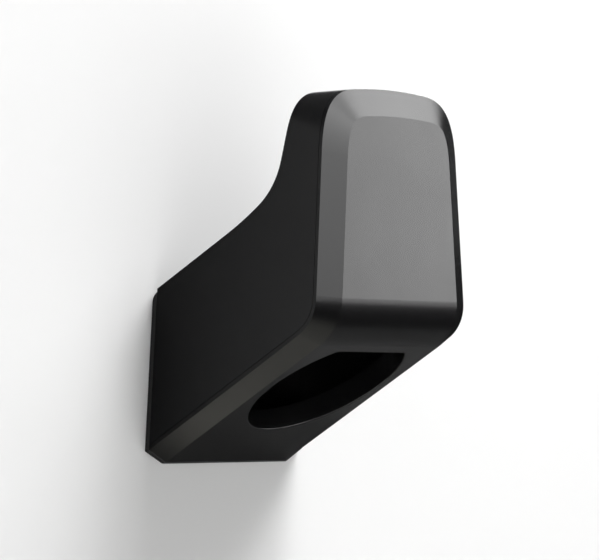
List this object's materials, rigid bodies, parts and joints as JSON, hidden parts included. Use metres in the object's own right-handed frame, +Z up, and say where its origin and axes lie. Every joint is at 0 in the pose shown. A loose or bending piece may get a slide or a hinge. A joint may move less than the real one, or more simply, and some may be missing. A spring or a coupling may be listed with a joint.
{
  "type": "ev charging connector wall holder",
  "caption": "Hollow moulded wall holder: a D-shaped socket in the sloping underside parks a vehicle charging connector, and its lead loops over the saddle behind the horn.",
  "frame": {"origin": "midway between the two wall-screw holes, on the face that lies against the wall", "axes": "+Z up, +Y into the wall, the holder stands out along -Y, and x = 0 is its plane of symmetry"},
  "size_m": [0.0926, 0.0846, 0.1387],
  "materials": {
    "housing": "fine satin moulded black",
    "front_cover": "fine satin moulded black",
    "wall_pad": "matt black sheet rubber",
    "cover_screws": "zinc plated"
  },
  "bodies": {
    "root": {"housing": "housing", "front_cover": "front_cover", "wall_pad": "wall_pad", "cover_screws": "cover_screws"}
  },
  "joints": []
}
